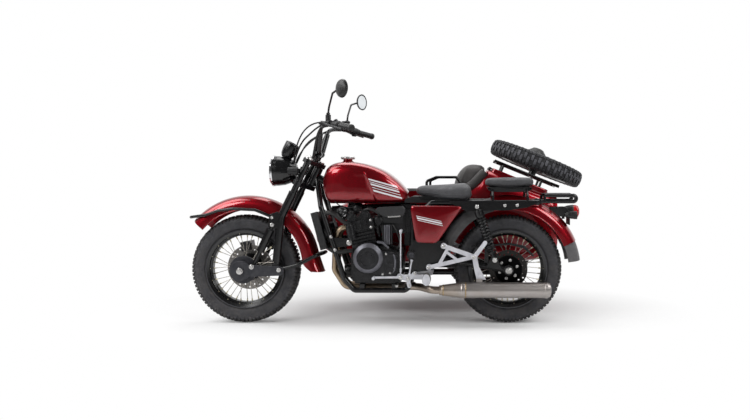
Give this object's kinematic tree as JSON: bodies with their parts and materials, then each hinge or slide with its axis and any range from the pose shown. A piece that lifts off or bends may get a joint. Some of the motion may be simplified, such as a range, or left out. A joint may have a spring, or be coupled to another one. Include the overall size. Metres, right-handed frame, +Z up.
{
  "type": "sidecar motorcycle",
  "caption": "Motorcycle with leading-link fork, twin engine and spoked wheels, joined to a tub sidecar with a hinged boot lid that carries a spare wheel.",
  "frame": {"origin": "on the ground under the middle of the bounding box", "axes": "-X is forward, so +X runs from the front wheel to the rear; +Y is the rider's right, the sidecar's side; +Z is up"},
  "size_m": [2.5167, 1.634, 1.4578],
  "materials": {
    "red_paint": "glossy metallic red paint",
    "black_paint": "satin black paint",
    "dark_grey": "dark grey cast and painted metal",
    "black_plastic": "matte black plastic",
    "tyre_rubber": "tyre rubber, slightly dusty",
    "rubber": "black rubber",
    "steel": "brushed stainless steel",
    "bright": "chrome",
    "cast_silver": "silver cast aluminium",
    "seat_black": "black leatherette",
    "seat_brown": "dark brown leatherette",
    "clear": "clear lens",
    "red_lens": "red lens",
    "mirror": "mirror glass"
  },
  "bodies": {
    "root": {"frame": "black_paint", "swingarm": "black_paint", "rear_shocks": "black_paint", "engine_case": "dark_grey", "engine_covers": "dark_grey", "cylinders": "dark_grey", "airbox": "dark_grey", "radiator": "black_paint", "exhaust": "steel", "muffler": "steel", "tank": "red_paint", "tank_cap": "black_paint", "side_covers": "red_paint", "rider_seat": "seat_black", "pillion_seat": "seat_black", "seat_posts": "black_paint", "rear_guard": "red_paint", "mudflap": "rubber", "rear_rack": "black_paint", "tail_lamp": "black_plastic", "tail_lens": "red_lens", "foot_brackets": "cast_silver", "footrests": "cast_silver", "side_frame": "black_paint", "side_guard": "red_paint", "tub": "red_paint", "tub_seat": "seat_brown", "tub_back": "seat_brown", "grab_rails": "black_paint"},
    "steering": {"fork": "black_paint", "front_links": "dark_grey", "front_shocks": "black_paint", "front_guard": "red_paint", "front_bar": "black_paint", "headlight_shell": "black_paint", "headlight_ring": "bright", "headlight_lens": "clear", "instrument": "black_plastic", "front_signals": "black_plastic", "handlebar": "black_paint", "hand_controls": "black_plastic", "mirrors": "black_plastic", "mirror_glass": "mirror", "cables": "rubber"},
    "front_wheel": {"front_tyre": "tyre_rubber", "front_rim": "black_paint", "front_hub": "cast_silver", "front_disc": "steel"},
    "rear_wheel": {"rear_tyre": "tyre_rubber", "rear_rim": "black_paint", "rear_hub": "cast_silver", "rear_disc": "steel"},
    "side_wheel": {"side_tyre": "tyre_rubber", "side_rim": "black_paint", "side_hub": "cast_silver"},
    "lid": {"boot_lid": "red_paint", "spare_rack": "black_paint", "spare_tyre": "tyre_rubber", "spare_rim": "black_paint", "spare_hub": "cast_silver"}
  },
  "joints": [
    {"name": "steering", "type": "hinge", "parent": "root", "child": "steering", "pos_m": [-0.488, -0.358, 0.905], "axis": [0.4289, 0, 0.9033], "range_deg": [-32, 32]},
    {"name": "front_wheel_spin", "type": "hinge", "parent": "steering", "child": "front_wheel", "pos_m": [-0.911, -0.358, 0.334], "axis": [0, 1, 0], "continuous": true},
    {"name": "rear_wheel_spin", "type": "hinge", "parent": "root", "child": "rear_wheel", "pos_m": [0.709, -0.358, 0.334], "axis": [0, 1, 0], "continuous": true},
    {"name": "side_wheel_spin", "type": "hinge", "parent": "root", "child": "side_wheel", "pos_m": [0.609, 0.722, 0.334], "axis": [0, 1, 0], "continuous": true},
    {"name": "boot_lid_hinge", "type": "hinge", "parent": "root", "child": "lid", "pos_m": [0.612, 0.202, 0.96], "axis": [0, -1, 0], "range_deg": [0, 45]}
  ]
}
